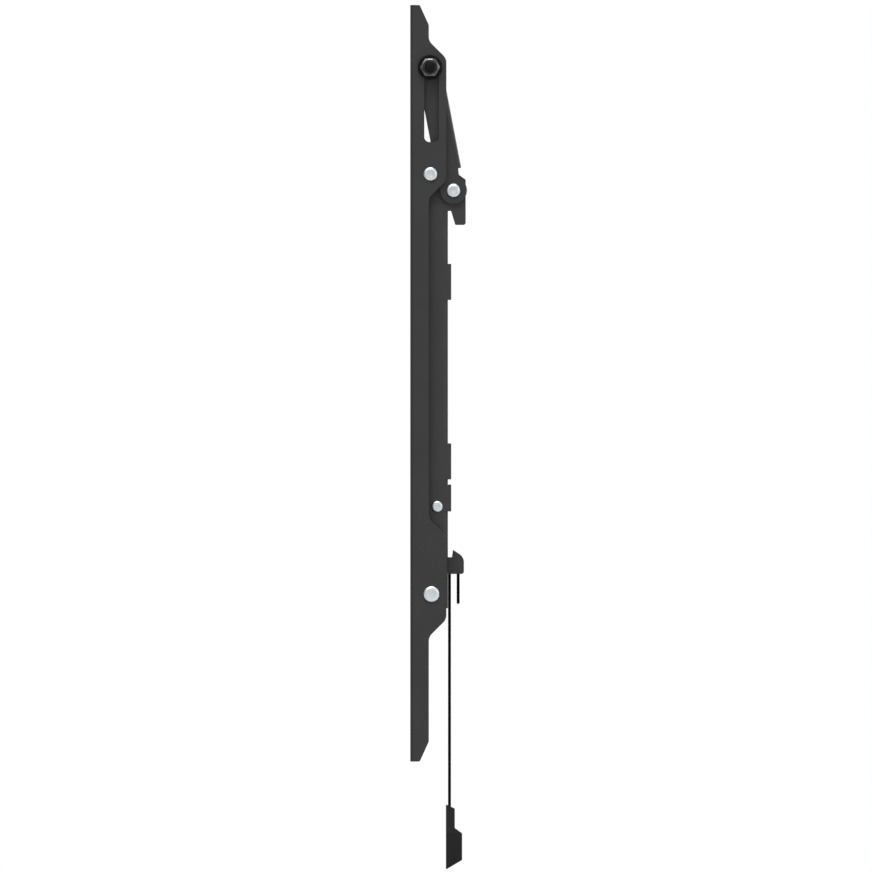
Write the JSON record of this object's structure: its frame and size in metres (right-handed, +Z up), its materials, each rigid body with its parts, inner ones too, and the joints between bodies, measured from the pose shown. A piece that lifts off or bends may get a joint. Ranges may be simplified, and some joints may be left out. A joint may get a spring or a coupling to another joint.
{
  "type": "tilting tv wall mount bracket",
  "caption": "Vertical TV-side bracket of a tilting wall mount: bolt-on channel, hooked rail inside it, clamped tilt arm, spring latch with pull cord and handle.",
  "frame": {"origin": "seat of the wall hook: mid-width, on the hook rail's back face, at the ceiling of the hook's throat", "axes": "+X across the bracket, -Y towards the TV, +Y towards the wall, +Z up along the bracket"},
  "size_m": [0.0474, 0.0324, 0.4934],
  "materials": {
    "black_steel": "fine black powder coat, satin",
    "zinc_steel": "bright zinc plate",
    "spring_steel": "drawn spring wire",
    "black_bolt": "black chrome, glossy",
    "black_washer": "black oxide, oiled",
    "nylon": "natural nylon",
    "friction_fibre": "pressed fibre",
    "latch_plastic": "glass-filled nylon, fine grain",
    "handle_plastic": "moulded black plastic, spark texture",
    "cord": "braided black polyester cord"
  },
  "bodies": {
    "hook_rail": {"hook_rail": "black_steel", "arm_pivot_rivet": "zinc_steel", "arm_pivot_tube": "zinc_steel", "arm_pivot_washers": "nylon", "latch_guide_rivet": "zinc_steel", "tilt_pivot_rivet": "zinc_steel", "tilt_pivot_tube": "zinc_steel", "tilt_pivot_bushes": "nylon", "latch_spring": "spring_steel"},
    "tv_bracket": {"tv_bracket": "black_steel", "stop_rivet": "zinc_steel", "stop_tube": "zinc_steel"},
    "tilt_arm": {"tilt_arm": "black_steel", "tilt_bolt": "black_bolt", "tilt_nut": "black_bolt", "nut_lock_ring": "nylon", "bolt_washers": "black_washer", "friction_washers": "friction_fibre", "bolt_tube": "zinc_steel"},
    "latch": {"latch_slider": "latch_plastic", "pull_cord": "cord", "cord_tail": "cord", "cord_knot": "cord", "pull_handle": "handle_plastic", "handle_cover": "handle_plastic"}
  },
  "joints": [
    {"name": "tilt", "type": "hinge", "parent": "hook_rail", "child": "tv_bracket", "pos_m": [0, -0.00936, -0.2187], "axis": [1, 0, 0], "range_deg": [0, 10]},
    {"name": "arm_swing", "type": "hinge", "parent": "hook_rail", "child": "tilt_arm", "pos_m": [0, 0.00317, 0.01182], "axis": [1, 0, 0], "range_deg": [0, 45]},
    {"name": "latch_pull", "type": "slide", "parent": "hook_rail", "child": "latch", "axis": [0, 0, -1], "range_m": [0, 0.006], "stiffness_N_per_m": 900, "springref_m": -0.003, "deforming": ["latch_spring"]}
  ],
  "couplings": [
    {"joint": "arm_swing", "follows": "tilt", "ratio": 4.5}
  ]
}
